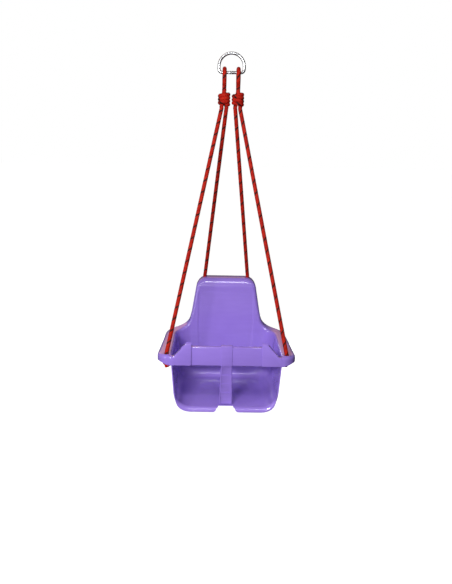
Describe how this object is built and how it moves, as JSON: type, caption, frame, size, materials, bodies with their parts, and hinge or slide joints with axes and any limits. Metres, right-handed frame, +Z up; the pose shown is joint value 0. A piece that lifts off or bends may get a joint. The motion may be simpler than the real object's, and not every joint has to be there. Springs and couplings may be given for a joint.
{
  "type": "toddler bucket swing",
  "caption": "Moulded bucket seat with a high back, a lift-out front guard with a crotch post, and ropes gathered to a hanging ring.",
  "frame": {"origin": "inside top of the hanging ring's bow, where a hook carries it", "axes": "+Z up, +Y from the seat's open front to its backrest, +X to the right seen from the front"},
  "size_m": [0.3774, 0.345, 0.9613],
  "materials": {
    "shell_plastic": "gloss",
    "guard_plastic": "gloss",
    "rope_cord": "matte",
    "knot_cord": "matte",
    "ring_steel": "satin"
  },
  "bodies": {
    "ring": {"hanging_ring": "ring_steel"},
    "seat": {"seat_shell": "shell_plastic", "rope_front_left": "rope_cord", "rope_front_right": "rope_cord", "rope_rear_left": "rope_cord", "rope_rear_right": "rope_cord", "eye_left": "rope_cord", "eye_right": "rope_cord", "eye_knot_left": "knot_cord", "eye_knot_right": "knot_cord", "stopper_knot_front_left": "knot_cord", "stopper_knot_front_right": "knot_cord", "stopper_knot_rear_left": "knot_cord", "stopper_knot_rear_right": "knot_cord"},
    "guard": {"front_guard": "guard_plastic"}
  },
  "joints": [
    {"name": "swing", "type": "hinge", "parent": "ring", "child": "seat", "pos_m": [0, 0, -0.046], "axis": [1, 0, 0], "range_deg": [-45, 45]},
    {"name": "guard_lift", "type": "slide", "parent": "seat", "child": "guard", "axis": [0, 0, 1], "range_m": [0, 0.055]}
  ]
}
